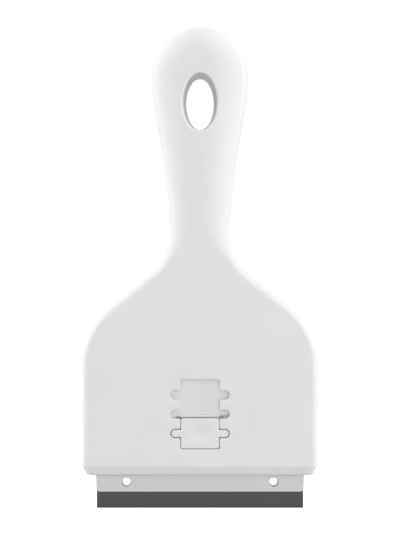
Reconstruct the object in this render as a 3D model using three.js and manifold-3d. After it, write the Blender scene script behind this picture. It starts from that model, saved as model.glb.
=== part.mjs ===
// Aquarium algae scraper: a wide flat head with a paddle handle, and a blade that slides out of the head.
// A press button on the front locks the blade in one of several notches.
// Millimetres, +Z up, front face towards -Y. Heights are measured up from the blade's edge with the blade
// fully out. The exported group has its origin where a hook bears in the hang hole.
import * as THREE from "three";
import { mergeVertices } from "three/addons/utils/BufferGeometryUtils.js";
import Module from "manifold-3d";

const wasm = await Module();
wasm.setup();

// Blade and the two jaws that clamp it
const bladeWidth = 100;
const bladeThickness = 0.6;
const bladeReach = 8.15; // bare blade below the jaws
const bladeGrip = 18.25; // blade held between the jaws
const edgeBevel = 1.5; // height of the ground edge
const edgeLand = 0.12; // thickness left at the cutting edge
const jawThickness = 1.8;
const jawShow = 8.25; // jaw seen below the body with the blade out
const jawSeat = 11.6; // jaw inside the body
const jawLap = 0.85; // jaw past each end of the blade
const jawDraft = 0.6; // how far each jaw end leans in over its height
const jawCorner = 1.2;
const jawHoleDiameter = 4.4;
const jawHoleInset = 14.35; // hole centre in from each end of the blade
const jawHoleRise = 4.3; // hole centre above the jaw's lower edge
const jawScrewInset = 18; // outer screws in from each end of the blade

// Outline of the body, seen from the front
const headMargin = 6.7; // head's side past each end of the blade
const headSide = 53; // straight side, from the mouth to the shoulder
const shoulderRadius = 36.3;
const shoulderSlope = THREE.MathUtils.degToRad(38); // fall of the shoulder's straight part
const neckRadius = 23.7;
const neckWidth = 28.9;
const gripLength = 75.6; // from the neck up to the widest place
const gripEaseLow = 34; // how softly the grip leaves the neck
const gripEaseHigh = 18; // how softly the grip meets the dome
const bulgeWidth = 46.2;
const domeHeight = 26;
const mouthTaper = 1.5; // how far the lower end leans in
const mouthTaperHeight = 4.9;
const mouthRound = 2.2; // rounding of the lower corners

// Depth of the body, front to back
const headDepth = 15;
const gripDepth = 22;
const headEdgeRadius = 4;
const gripFlatWidth = 3; // nearly flat strip down the handle's face
const domeRoll = 13; // how far the top rolls over
const gripSideBand = 1; // upright band each side of the seam on the handle
const leastSideBand = 0.4; // the same at the lower end
const swellLow = 24; // the handle starts to thicken this far below the neck
const swellHigh = 49.6; // and has its full depth this far above it
const edgeBlend = 27; // the head's edge starts to widen into the grip's this far below the neck
const edgeFull = 5; // and is the grip's own this far below it
const leastRoll = 1; // smallest rounding inside the hollow
const wall = 2.2;
const endWall = 3; // wall across the lower end, round the mouth
const seamGap = 0.1;

// Hang hole, an oval through the handle
const holeWaistWidth = 14;
const holeWaistHeight = 24.7;
const holeDraft = 1.2; // how far the wall opens out on its way to the face
const holeLip = 1.2; // rounding at the face
const holeDrop = 11.7; // hole centre below the widest place

// Lock button and its notches
const padWidth = 18.2;
const padHeight = 14.35;
const padCorner = 0.9;
const padRise = 13.4; // pad's lower edge above the mouth
const padDishDepth = 0.5;
const padDishMargin = 2.2; // flat rim left round the dish
const earSpan = 28.2;
const earHeight = 4.2;
const wingWidth = 1.8; // keeps the button from dropping out of the window
const wingThickness = 1.2;
const notchPitch = 9.2;
const notchCount = 3;

// Latch spring under the button, whose two arms carry the ears
const armThickness = 1.1;
const armDrop = 3; // how far an arm falls from its ear to the spring's base
const springBaseWidth = 6;
const springBaseThickness = 1.9;

// Carriage that carries the jaws and the button
const carriageWidth = 58;
const carriageWall = 2;
const carriageHeadroom = 3; // carriage above the window
const crossbarInset = 2; // crossbar short of each end of the blade
const crossbarCap = 3; // crossbar above the jaws
const blockSetback = 1.2; // block's face behind the window, set back from the strip that guides it
const guideStrip = 2.2; // height of that strip, along the block's top
const landStep = 0.3; // raised land behind the top of the window
const landRise = 1.6; // where the land starts, above the middle of the highest notch
const lipHeight = 0.7; // rib along the top of the pocket
const reliefDepth = 2.2; // cut in the carriage behind the right middle notch
const floorDepth = 1; // front of the pocket floor, behind the seam
const floorThickness = 2;
const padBlockWidth = 5;

// Screws
const shellScrew = { head: 6, headHeight: 2, shank: 3, reach: 8.8 };
const jawScrew = { head: 4.6, headHeight: 1.3, shank: 2.4, reach: 7.6 };
const latchScrew = { head: 4, headHeight: 1.2, shank: 2, reach: 3.2 };
const screwSeat = 4.4; // where the shell screws' heads bear, behind the seam
const bossWall = 2.4;
const bossMargin = 1.5; // from a boss to what moves past it

// Clearances
const windowGap = 0.3; // button to window
const slideGap = 0.4; // carriage to body
const seatGap = 0.05; // between faces that are clamped together
const screwGap = 0.2; // round a screw
const pocketGap = 0.5; // button to carriage
const earGap = 0.2; // pad to ears
const overcut = 1; // how far a cut runs past the face that it opens

const roundSides = 16;
const cornerSteps = 5;
const ovalSides = 40;

// Heights and half widths that follow from the sizes above
const mouthZ = bladeReach + jawShow;
const jawTopZ = mouthZ + jawSeat;
const bladeTopZ = bladeReach + bladeGrip;
const jawHalf = bladeWidth / 2 + jawLap;
const headHalf = bladeWidth / 2 + headMargin;
const neckHalf = neckWidth / 2;
const bulgeHalf = bulgeWidth / 2;
const flatHalf = gripFlatWidth / 2;
const shoulderZ = mouthZ + headSide;
const curveRadii = shoulderRadius + neckRadius;
const slopeLength =
  (headHalf - neckHalf - curveRadii * (1 - Math.sin(shoulderSlope))) / Math.cos(shoulderSlope);
const neckZ = shoulderZ + curveRadii * Math.cos(shoulderSlope) + slopeLength * Math.sin(shoulderSlope);
const bulgeZ = neckZ + gripLength;
const topZ = bulgeZ + domeHeight;
const holeZ = bulgeZ - holeDrop;
const hookZ = holeZ + holeWaistHeight / 2;

const travel = notchPitch * (notchCount - 1);
const padZ = mouthZ + padRise;
const padTopZ = padZ + padHeight;
const padMidZ = padZ + padHeight / 2;
const windowTopZ = padTopZ + travel + windowGap;
const faceY = -headDepth / 2;
const faceInnerY = faceY + wall;
const carriageFrontY = faceInnerY + slideGap;
const carriageBackY = -carriageFrontY;
const carriageTopZ = windowTopZ + carriageHeadroom;
const crossbarZ = mouthZ + endWall + windowGap;
const crossbarTopZ = jawTopZ + crossbarCap;
const crossbarHalf = bladeWidth / 2 - crossbarInset;
const stackHalf = bladeThickness / 2 + seatGap + jawThickness;
const grooveHalf = stackHalf + seatGap;
const jawScrewZ = (crossbarZ + jawTopZ) / 2;
const jawScrewX = bladeWidth / 2 - jawScrewInset;
const jawHoleX = bladeWidth / 2 - jawHoleInset;
const bossRadius = shellScrew.shank / 2 + screwGap + bossWall;

const smooth = (value, low, high) => THREE.MathUtils.smoothstep(value, low, high);
const mix = THREE.MathUtils.lerp;

// Half depth of the body at a height, without the taper of the lower end
function depthAt(z) {
  const rise = smooth(z, neckZ - swellLow, neckZ + swellHigh);
  return mix(headDepth / 2, gripDepth / 2, rise);
}

// Points up the right side of the outline, from the lower end to the top, each with its outward normal,
// the half depth there, how far the lower end leans in, and how far and how deep the edge rolls over
function outline() {
  const corner = new THREE.Vector2(headHalf - mouthTaper, mouthZ);
  const taperTop = new THREE.Vector2(headHalf, mouthZ + mouthTaperHeight);
  const upTaper = taperTop.clone().sub(corner).setLength(mouthRound).add(corner);
  const inCorner = new THREE.Vector2(corner.x - mouthRound, mouthZ);
  const side = new THREE.Vector2(headHalf, shoulderZ);
  const shoulderTurn = Math.PI / 2 - shoulderSlope;
  const shoulder = new THREE.EllipseCurve(
    headHalf - shoulderRadius, shoulderZ, shoulderRadius, shoulderRadius, 0, shoulderTurn);
  const neck = new THREE.EllipseCurve(
    neckHalf + neckRadius, neckZ, neckRadius, neckRadius, Math.PI + shoulderTurn, Math.PI, true);
  const grip = new THREE.CubicBezierCurve(
    new THREE.Vector2(neckHalf, neckZ), new THREE.Vector2(neckHalf, neckZ + gripEaseLow),
    new THREE.Vector2(bulgeHalf, bulgeZ - gripEaseHigh), new THREE.Vector2(bulgeHalf, bulgeZ));
  const dome = new THREE.EllipseCurve(0, bulgeZ, bulgeHalf, domeHeight, 0, Math.PI / 2);
  const stretches = [
    [new THREE.QuadraticBezierCurve(inCorner, corner, upTaper), 4],
    [new THREE.LineCurve(upTaper, taperTop), 1],
    [new THREE.LineCurve(taperTop, side), 1],
    [shoulder, 8],
    [new THREE.LineCurve(shoulder.getPoint(1), neck.getPoint(0)), 2],
    [neck, 7],
    [grip, 10],
    [dome, 10],
  ];
  const points = [];
  for (const [curve, steps] of stretches) {
    for (let step = points.length ? 1 : 0; step <= steps; step++) {
      const { x, y: z } = curve.getPoint(step / steps);
      const along = curve.getTangent(step / steps);
      const low = z < taperTop.y;
      const normal = low ? new THREE.Vector2(1, 0) : new THREE.Vector2(along.y, -along.x);
      const taper = low ? headHalf - x : 0;
      const depth = depthAt(z) - taper;
      points.push({ x, z, normal, taper, depth, ...rollAt(x, z, depth) });
    }
  }
  points.at(-1).x = 0;
  points.at(-1).normal.set(0, 1);
  return points;
}

// How far the edge rolls in across the face, and how deep, at a place on the outline
function rollAt(x, z, depth) {
  const onGrip = smooth(z, neckZ - edgeBlend, neckZ - edgeFull);
  const overDome = Math.max(z - bulgeZ, 0) / domeHeight;
  const gripRoll = overDome ? mix(bulgeHalf - flatHalf, domeRoll, overDome) : x - flatHalf;
  return {
    roll: mix(headEdgeRadius, gripRoll, onGrip),
    deep: Math.min(mix(headEdgeRadius, depth - gripSideBand, onGrip), depth - leastSideBand),
  };
}

// A closed solid of one half of the body, cut at the plane y = seam. side is -1 for the front and 1 for
// the back. inset shrinks it evenly for the hollow inside, whose lower end doesn't lean in.
function bodyHalf(side, seam, inset, rollSteps) {
  const right = outline();
  const ring = (point, mirror) => {
    const roll = Math.max(point.roll - inset, leastRoll);
    const deep = Math.max(point.deep - inset, leastRoll);
    const upright = inset ? point.taper : 0;
    const place = (inward, y) => [
      mirror * (point.x + upright - point.normal.x * (inset + inward)),
      side * y,
      point.z - point.normal.y * (inset + inward),
    ];
    const row = [place(0, seam)];
    for (let step = 0; step <= rollSteps; step++) {
      const turn = (step / rollSteps) * (Math.PI / 2);
      const y = point.depth + upright - inset - deep * (1 - Math.sin(turn));
      row.push(place(roll * (1 - Math.cos(turn)), y));
    }
    return row;
  };
  const rows = [
    ...right.map((point) => ring(point, 1)),
    ...right.slice(0, -1).reverse().map((point) => ring(point, -1)),
  ];
  return lofted(rows, side);
}

// Joins a horseshoe of equal rows into one closed solid: its skin, the faces between the two arms,
// and its foot
function lofted(rows, side) {
  const width = rows[0].length;
  const last = rows.length - 1;
  const index = (row, column) => row * width + column;
  const faces = [];
  const quad = (a, b, c, d) => faces.push(a, b, c, a, c, d);
  for (let row = 0; row < last; row++) {
    for (let column = 0; column < width - 1; column++) {
      quad(index(row, column), index(row, column + 1), index(row + 1, column + 1), index(row + 1, column));
    }
  }
  for (let row = 0; row < last / 2; row++) {
    const other = last - row;
    for (const column of [0, width - 1]) {
      const [a, b, c, d] = [row, row + 1, other - 1, other].map((place) => index(place, column));
      if (column) quad(a, d, c, b);
      else quad(a, b, c, d);
    }
  }
  for (let column = 0; column < width - 1; column++) {
    quad(index(0, column), index(last, column), index(last, column + 1), index(0, column + 1));
  }
  if (side < 0) faces.reverse();
  const geometry = new THREE.BufferGeometry();
  geometry.setAttribute("position", new THREE.Float32BufferAttribute(rows.flat(2), 3));
  geometry.setIndex(faces);
  return solidOf(geometry);
}

// A three.js geometry as a solid that can be joined and cut
function solidOf(geometry) {
  const bare = geometry.clone();
  bare.deleteAttribute("normal");
  bare.deleteAttribute("uv");
  const merged = mergeVertices(bare, 1e-4);
  const index = [...merged.index.array];
  const kept = [];
  for (let i = 0; i < index.length; i += 3) {
    const [a, b, c] = index.slice(i, i + 3);
    if (a !== b && b !== c && c !== a) kept.push(a, b, c);
  }
  const vertProperties = merged.attributes.position.array;
  const triVerts = new Uint32Array(kept);
  return new wasm.Manifold(new wasm.Mesh({ numProp: 3, vertProperties, triVerts }));
}

// A solid back as a three.js geometry
function geometryOf(solid) {
  const mesh = solid.getMesh();
  const geometry = new THREE.BufferGeometry();
  geometry.setAttribute("position", new THREE.Float32BufferAttribute(mesh.vertProperties, 3));
  geometry.setIndex([...mesh.triVerts]);
  geometry.computeVertexNormals();
  return geometry;
}

const joined = (first, ...rest) => rest.reduce((sum, next) => sum.add(next), first);
const without = (first, ...cuts) => cuts.reduce((left, cut) => left.subtract(cut), first);

function box([x0, x1], [y0, y1], [z0, z1]) {
  const geometry = new THREE.BoxGeometry(x1 - x0, y1 - y0, z1 - z0);
  return solidOf(geometry.translate((x0 + x1) / 2, (y0 + y1) / 2, (z0 + z1) / 2));
}

// A box that is as wide to the left as to the right
const centred = (half, depths, heights) => box([-half, half], depths, heights);

// An outline drawn in x and z, extruded from y0 back to y1
function slab(shape, [y0, y1]) {
  const settings = { depth: y1 - y0, bevelEnabled: false, curveSegments: cornerSteps };
  const geometry = new THREE.ExtrudeGeometry(shape, settings);
  return solidOf(geometry.rotateX(Math.PI / 2).translate(0, y1, 0));
}

// An outline drawn in y and z, extruded from x = -half to x = half
function bar(points, half) {
  const shape = new THREE.Shape(points.map(([y, z]) => new THREE.Vector2(y, z)));
  const geometry = new THREE.ExtrudeGeometry(shape, { depth: 2 * half, bevelEnabled: false });
  const turned = new THREE.Matrix4().set(0, 0, 1, -half, 1, 0, 0, 0, 0, 1, 0, 0, 0, 0, 0, 1);
  return solidOf(geometry.applyMatrix4(turned));
}

// An outline drawn in x and y, extruded upwards
function plate(points, [z0, z1]) {
  const shape = new THREE.Shape(points.map(([x, y]) => new THREE.Vector2(x, y)));
  const geometry = new THREE.ExtrudeGeometry(shape, { depth: z1 - z0, bevelEnabled: false });
  return solidOf(geometry.translate(0, 0, z0));
}

// A round rod along y
function rod(radius, x, z, [y0, y1]) {
  const geometry = new THREE.CylinderGeometry(radius, radius, y1 - y0, roundSides);
  return solidOf(geometry.translate(x, (y0 + y1) / 2, z));
}

function roundedRect(half, low, high, radius) {
  const shape = new THREE.Shape();
  shape.moveTo(half, low + radius);
  shape.lineTo(half, high - radius);
  shape.absarc(half - radius, high - radius, radius, 0, Math.PI / 2);
  shape.lineTo(radius - half, high);
  shape.absarc(radius - half, high - radius, radius, Math.PI / 2, Math.PI);
  shape.lineTo(-half, low + radius);
  shape.absarc(radius - half, low + radius, radius, Math.PI, Math.PI * 1.5);
  shape.lineTo(half - radius, low);
  shape.absarc(half - radius, low + radius, radius, Math.PI * 1.5, Math.PI * 2);
  return shape;
}

// A bar with round ends across the window, for the ears and their notches
function earShape(z, grow) {
  const reach = earHeight / 2 + grow;
  return roundedRect(earSpan / 2 + grow, z - reach, z + reach, reach - seatGap);
}

// A tapered oval plug on the hang hole's axis. Each step is [y, growth of the waist].
function ovalPlug(steps) {
  const rows = steps.map(([y, grow]) => {
    const ring = [];
    for (let side = 0; side < ovalSides; side++) {
      const turn = (side / ovalSides) * Math.PI * 2;
      const x = (holeWaistWidth / 2 + grow) * Math.cos(turn);
      const rise = (holeWaistHeight / 2 + grow) * Math.sin(turn);
      ring.push([x, y, holeZ + rise]);
    }
    return ring;
  });
  const ends = [[0, steps[0][0], holeZ], [0, steps.at(-1)[0], holeZ]];
  const faces = [];
  const first = rows.length * ovalSides;
  for (let side = 0; side < ovalSides; side++) {
    const next = (side + 1) % ovalSides;
    for (let row = 0; row < rows.length - 1; row++) {
      const [a, b] = [row * ovalSides, (row + 1) * ovalSides];
      faces.push(a + side, b + side, b + next, a + side, b + next, a + next);
    }
    const end = (rows.length - 1) * ovalSides;
    faces.push(first, side, next, first + 1, end + next, end + side);
  }
  const geometry = new THREE.BufferGeometry();
  geometry.setAttribute("position", new THREE.Float32BufferAttribute([...rows.flat(), ...ends].flat(), 3));
  geometry.setIndex(steps[0][0] > steps.at(-1)[0] ? faces.reverse() : faces);
  return solidOf(geometry);
}

const holeDepth = depthAt(holeZ);

// The hole in one half of the body, and the tube of wall round it
const hangHole = (side) =>
  ovalPlug([
    [-side * overcut, 0],
    [side * seamGap, 0],
    [side * (holeDepth - holeLip), holeDraft],
    [side * (holeDepth - holeLip / 4), holeDraft + holeLip / 4],
    [side * holeDepth, holeDraft + holeLip],
    [side * (holeDepth + overcut), holeDraft + holeLip],
  ]);
const hangTube = (side, seam) =>
  ovalPlug([
    [side * seam, wall],
    [side * (holeDepth - wall / 2), wall + holeDraft],
  ]);

// Where the screws that hold the two halves together stand
const sideBossX = (carriageWidth / 2 + jawHalf) / 2;
const shoulderBossX = carriageWidth / 2 - bossRadius;
const screwPlaces = [
  [-sideBossX, crossbarTopZ + travel + bossRadius + bossMargin],
  [sideBossX, crossbarTopZ + travel + bossRadius + bossMargin],
  [-shoulderBossX, carriageTopZ + travel + bossRadius + bossMargin],
  [shoulderBossX, carriageTopZ + travel + bossRadius + bossMargin],
  [0, neckZ + neckWidth / 4],
  [0, holeZ + holeWaistHeight / 2 + holeDraft + wall + bossRadius + bossMargin],
];

// One half of the body with its hollow, tube, bosses, rails and mouth
function bodyShell(side, seam) {
  const hollow = without(
    bodyHalf(side, -overcut, wall, 4),
    centred(headHalf, [-headDepth, headDepth], [0, mouthZ + endWall]));
  const railY = side * (headDepth / 2 - wall / 2);
  const rails = [-1, 1].map((hand) => {
    const inner = hand * (jawHalf + slideGap);
    const outer = hand * (jawHalf + slideGap + wall / 2);
    const heights = [mouthZ + endWall / 2, jawTopZ + travel];
    return box([inner, outer].sort((a, b) => a - b), [side * seam, railY].sort((a, b) => a - b), heights);
  });
  const bosses = screwPlaces.map(([x, z]) =>
    rod(bossRadius, x, z, [side * seam, side * (depthAt(z) - wall / 2)].sort((a, b) => a - b)));
  const mouth = centred(
    jawHalf + slideGap,
    [-stackHalf - slideGap, stackHalf + slideGap],
    [mouthZ - overcut, mouthZ + endWall + overcut]);
  return without(
    joined(bodyHalf(side, seam, 0, 6).subtract(hollow), hangTube(side, seam), ...rails, ...bosses),
    hangHole(side), mouth);
}

// Front half, with the window for the button and the notches for its ears
function frontShell() {
  const through = [faceY - overcut, faceInnerY + overcut];
  const opening = roundedRect(padWidth / 2 + windowGap, padZ - windowGap, windowTopZ, padCorner);
  const window = slab(opening, through);
  const notches = Array.from({ length: notchCount }, (_, place) =>
    slab(earShape(padMidZ + place * notchPitch, windowGap), through));
  const pilots = screwPlaces.map(([x, z]) =>
    rod(shellScrew.shank / 2 + screwGap, x, z, [screwSeat - shellScrew.reach - screwGap, overcut]));
  return without(bodyShell(-1, 0), window, ...notches, ...pilots);
}

// Back half, with sunk holes for the screws
function rearShell() {
  const holes = screwPlaces.flatMap(([x, z]) => [
    rod(shellScrew.shank / 2 + screwGap, x, z, [-overcut, screwSeat + overcut]),
    rod(shellScrew.head / 2 + screwGap, x, z, [screwSeat, gripDepth]),
  ]);
  return without(bodyShell(1, seamGap), ...holes);
}

// A pan-head screw pointing to -Y, with its head's underside at y = seat and a cross cut in the head
function screw(size, x, z, seat) {
  const tip = size.shank / 2;
  const profile = [
    [0, -size.reach],
    [size.shank / 2 - tip / 2, -size.reach + tip / 4],
    [size.shank / 2, -size.reach + tip],
    [size.shank / 2, 0],
    [size.head / 2, 0],
    [size.head / 2, size.headHeight / 2],
    [size.head / 3, size.headHeight],
    [0, size.headHeight],
  ].map(([radius, y]) => new THREE.Vector2(radius, y));
  const body = solidOf(new THREE.LatheGeometry(profile, roundSides));
  const arm = size.head / 4;
  const slot = size.head / 16;
  const cut = [size.headHeight / 3, size.headHeight + overcut];
  const crossed = without(body, centred(arm, cut, [-slot, slot]), centred(slot, cut, [-arm, arm]));
  return crossed.translate([x, seat, z]);
}

// One jaw: a strip with rounded lower corners, two open holes and its screw holes
function jaw(side) {
  const lowHalf = jawHalf - jawDraft;
  const shape = new THREE.Shape();
  shape.moveTo(-jawHalf, jawTopZ);
  shape.lineTo(-lowHalf, bladeReach + jawCorner);
  shape.absarc(jawCorner - lowHalf, bladeReach + jawCorner, jawCorner, Math.PI, Math.PI * 1.5);
  shape.lineTo(lowHalf - jawCorner, bladeReach);
  shape.absarc(lowHalf - jawCorner, bladeReach + jawCorner, jawCorner, Math.PI * 1.5, Math.PI * 2);
  shape.lineTo(jawHalf, jawTopZ);
  const depths = [side * (bladeThickness / 2 + seatGap), side * stackHalf].sort((a, b) => a - b);
  return without(slab(shape, depths), ...jawHoles(0), ...jawScrewHoles());
}

const jawHoles = (grow) =>
  [-1, 1].map((hand) =>
    rod(jawHoleDiameter / 2 + grow, hand * jawHoleX, bladeReach + jawHoleRise,
      [-stackHalf - overcut, stackHalf + overcut]));
const jawScrewHoles = () =>
  [-1, 0, 1].map((place) =>
    rod(jawScrew.shank / 2 + screwGap, place * jawScrewX, jawScrewZ,
      [-stackHalf - overcut, stackHalf + overcut]));

function blade() {
  const half = bladeThickness / 2;
  const section = [
    [-half, bladeTopZ],
    [-half, edgeBevel],
    [-edgeLand / 2, 0],
    [edgeLand / 2, 0],
    [half, edgeBevel],
    [half, bladeTopZ],
  ];
  return without(bar(section, bladeWidth / 2), ...jawHoles(screwGap), ...jawScrewHoles());
}

// Carriage: a crossbar slotted for the jaws below, and a block above it with the button's pocket
const jawScrewSeat = carriageBackY - jawScrew.headHeight - screwGap;
const floorBackY = floorDepth + floorThickness;
const latchTipY = floorBackY - latchScrew.reach;

function carriage() {
  const half = carriageWidth / 2;
  const landZ = padMidZ + travel + landRise;
  const lipZ = padTopZ + pocketGap;
  const landY = carriageFrontY + blockSetback;
  const recessY = landY + landStep;
  const depths = [carriageFrontY, carriageBackY];
  const crossbar = centred(crossbarHalf, depths, [crossbarZ, crossbarTopZ]);
  const block = centred(half, [carriageFrontY, floorBackY], [crossbarTopZ - seatGap, carriageTopZ]);
  const guides = [-1, 1].map((hand) => {
    const outer = hand * half;
    const inner = hand * (half - padBlockWidth);
    const widths = [inner, outer].sort((a, b) => a - b);
    return box(widths, [floorBackY - seatGap, carriageBackY], [carriageTopZ - padBlockWidth, carriageTopZ]);
  });
  const groove = centred(headHalf, [-grooveHalf, grooveHalf], [crossbarZ - overcut, jawTopZ + seatGap]);
  const pocketHeights = [padZ - pocketGap, lipZ];
  const pocketDepths = [carriageFrontY - overcut, floorDepth];
  const earRoom = earSpan / 2 + pocketGap;
  const clearOfEar = earHeight / 2 + pocketGap;
  const pockets = [
    centred(padWidth / 2 + wingWidth + pocketGap, pocketDepths, pocketHeights),
    centred(earRoom, pocketDepths, [padMidZ - clearOfEar, padMidZ + clearOfEar]),
  ];
  const relief = box(
    [padWidth / 2 + windowGap + pocketGap, earRoom],
    [carriageFrontY - overcut, recessY + reliefDepth], [padMidZ, lipZ + lipHeight]);
  const recesses = [
    centred(half + overcut, [carriageFrontY - overcut, recessY], [pocketHeights[0], landZ]),
    centred(half + overcut, [carriageFrontY - overcut, landY], [landZ - seatGap, carriageTopZ - guideStrip]),
  ];
  const lip = centred(
    padWidth / 2 + windowGap, [carriageFrontY, recessY + seatGap], [lipZ, lipZ + lipHeight]);
  const backPocket = centred(
    half - carriageWall, [recessY + carriageWall, floorBackY + overcut],
    [lipZ + carriageWall, carriageTopZ - carriageWall]);
  const sidePockets = [-1, 1].map((hand) => {
    const inner = hand * (earSpan / 2 + pocketGap + carriageWall);
    const outer = hand * (half - carriageWall);
    const widths = [inner, outer].sort((a, b) => a - b);
    return box(widths, [recessY + carriageWall, floorBackY + overcut], [crossbarTopZ + carriageWall, lipZ]);
  });
  const screwHoles = [-1, 0, 1].flatMap((place) => {
    const x = place * jawScrewX;
    const tipY = jawScrewSeat - jawScrew.reach - screwGap;
    return [
      rod(jawScrew.shank / 2 + screwGap, x, jawScrewZ, [tipY, carriageBackY + overcut]),
      rod(jawScrew.head / 2 + screwGap, x, jawScrewZ, [jawScrewSeat, carriageBackY + overcut]),
    ];
  });
  const latchHole = rod(
    latchScrew.shank / 2 + screwGap, 0, padMidZ, [floorDepth - overcut, floorBackY + overcut]);
  const bare = without(
    joined(crossbar, block, ...guides),
    groove, ...pockets, relief, ...recesses, backPocket, ...sidePockets, ...screwHoles, latchHole);
  return joined(bare, lip);
}

// Lock button: a dished pad, with four wings behind the window's edges that keep it in
const padBackY = faceInnerY + windowGap + wingThickness;

function lockButton() {
  const pad = slab(roundedRect(padWidth / 2, padZ, padTopZ, padCorner), [faceY, padBackY]);
  const clearOfEar = earHeight / 2 + pocketGap;
  const wings = [
    [padZ + padCorner, padMidZ - clearOfEar],
    [padMidZ + clearOfEar, padTopZ - padCorner],
  ].map((heights) => centred(padWidth / 2 + wingWidth, [faceInnerY + windowGap, padBackY], heights));
  return without(joined(pad, ...wings), thumbDish());
}

// Latch spring: a base on the floor of the carriage's pocket and two springy arms up to the ears,
// which stand in a pair of notches and go down with the pad
function latchSpring() {
  const earInner = padWidth / 2 + earGap;
  const earBackY = padBackY + windowGap + armThickness;
  const baseBackY = floorDepth - seatGap;
  const baseHalf = springBaseWidth / 2;
  const reach = earSpan / 2 - earHeight / 2;
  const heights = [padMidZ - earHeight / 2 + seatGap, padMidZ + earHeight / 2 - seatGap];
  const ears = slab(earShape(padMidZ, 0), [faceY, earBackY]).subtract(
    centred(earInner, [faceY - overcut, earBackY + overcut], [padZ, padTopZ]));
  const base = centred(baseHalf, [baseBackY - springBaseThickness, baseBackY], heights);
  const arms = [-1, 1].map((hand) => {
    const points = [
      [hand * (baseHalf - armThickness), earBackY + armDrop - armThickness],
      [hand * reach, earBackY - armThickness],
      [hand * reach, earBackY],
      [hand * (baseHalf - armThickness), earBackY + armDrop],
    ];
    return plate(hand > 0 ? points : points.reverse(), heights);
  });
  const holeDepths = [latchTipY - screwGap, floorDepth + overcut];
  const hole = rod(latchScrew.shank / 2 + screwGap, 0, padMidZ, holeDepths);
  return without(joined(base, ...arms, ears), hole);
}

// A shallow round-bottomed cut in the face of the pad
function thumbDish() {
  const radius = padHeight / 2 - padDishMargin;
  const bend = (radius ** 2 + padDishDepth ** 2) / (2 * padDishDepth);
  const profile = [new THREE.Vector2(0, -overcut), new THREE.Vector2(radius, -overcut)];
  for (let step = 0; step <= 4; step++) {
    const across = radius * (1 - step / 4);
    profile.push(new THREE.Vector2(across, Math.sqrt(bend ** 2 - across ** 2) - bend + padDishDepth));
  }
  const geometry = new THREE.LatheGeometry(profile, roundSides);
  const stretch = (padWidth / 2 - padDishMargin) / radius;
  return solidOf(geometry.scale(stretch, 1, 1).translate(0, faceY, padMidZ));
}

const whitePlastic = new THREE.MeshStandardMaterial({ color: 0xeeeeec, roughness: 0.42, metalness: 0 });
const greyPlastic = new THREE.MeshStandardMaterial({ color: 0xcfd0d0, roughness: 0.5, metalness: 0 });
const darkSteel = new THREE.MeshStandardMaterial({ color: 0x545454, roughness: 0.45, metalness: 0.6 });
const stainless = new THREE.MeshStandardMaterial({ color: 0xb9bbbd, roughness: 0.3, metalness: 1 });

const scraper = new THREE.Group();
scraper.name = "algae_scraper";
const tool = new THREE.Group();
tool.position.set(0, 0, -hookZ);
scraper.add(tool);

function add(name, solid, material) {
  const mesh = new THREE.Mesh(geometryOf(solid), material);
  mesh.name = name;
  tool.add(mesh);
}

add("front_shell", frontShell(), whitePlastic);
add("rear_shell", rearShell(), whitePlastic);
screwPlaces.forEach(([x, z], place) => {
  add(`shell_screw_${place + 1}`, screw(shellScrew, x, z, screwSeat + seatGap), stainless);
});
add("blade_carriage", carriage(), whitePlastic);
add("front_jaw", jaw(-1), greyPlastic);
add("rear_jaw", jaw(1), greyPlastic);
add("scraper_blade", blade(), darkSteel);
[-1, 0, 1].forEach((place, number) => {
  const x = place * jawScrewX;
  add(`jaw_screw_${number + 1}`, screw(jawScrew, x, jawScrewZ, jawScrewSeat + seatGap), stainless);
});
add("latch_spring", latchSpring(), whitePlastic);
add("latch_screw", screw(latchScrew, 0, padMidZ, floorBackY + seatGap), stainless);
add("lock_button", lockButton(), whitePlastic);

export default scraper;
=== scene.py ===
import math

import bmesh
import bpy
import numpy as np
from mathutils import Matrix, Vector
from mathutils.geometry import delaunay_2d_cdt


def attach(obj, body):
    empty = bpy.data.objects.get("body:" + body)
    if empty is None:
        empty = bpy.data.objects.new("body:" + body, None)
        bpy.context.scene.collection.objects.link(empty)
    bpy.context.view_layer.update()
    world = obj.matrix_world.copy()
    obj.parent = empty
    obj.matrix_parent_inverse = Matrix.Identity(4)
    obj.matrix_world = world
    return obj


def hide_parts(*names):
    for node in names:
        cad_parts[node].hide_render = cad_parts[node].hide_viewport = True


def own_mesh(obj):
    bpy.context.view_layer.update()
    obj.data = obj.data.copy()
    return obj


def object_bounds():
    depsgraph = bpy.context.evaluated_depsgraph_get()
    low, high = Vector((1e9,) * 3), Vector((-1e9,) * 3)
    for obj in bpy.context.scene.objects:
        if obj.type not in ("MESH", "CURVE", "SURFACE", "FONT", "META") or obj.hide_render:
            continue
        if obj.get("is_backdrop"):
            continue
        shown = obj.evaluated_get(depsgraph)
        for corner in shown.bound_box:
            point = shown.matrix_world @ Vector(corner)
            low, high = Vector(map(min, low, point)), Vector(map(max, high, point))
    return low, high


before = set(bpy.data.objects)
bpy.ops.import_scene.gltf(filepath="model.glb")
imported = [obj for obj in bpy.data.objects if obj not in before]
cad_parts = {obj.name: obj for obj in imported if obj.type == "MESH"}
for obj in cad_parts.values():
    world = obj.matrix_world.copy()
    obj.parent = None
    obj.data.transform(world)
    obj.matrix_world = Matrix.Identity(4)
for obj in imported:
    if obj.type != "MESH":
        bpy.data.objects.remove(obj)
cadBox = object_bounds()

# everything below is drawn in millimetres, with heights from the blade's edge
mm = 0.001
hookHeight = 207.923  # the frame's origin, where a hook bears in the hang hole

bpy.context.scene.view_settings.view_transform = "Standard"


def toFrame(points):
    return (np.asarray(points, float) - (0, 0, hookHeight)) * mm


def blendStep(value, low, high):
    t = np.clip((np.asarray(value, float) - low) / (high - low), 0, 1)
    return t * t * (3 - 2 * t)


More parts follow.
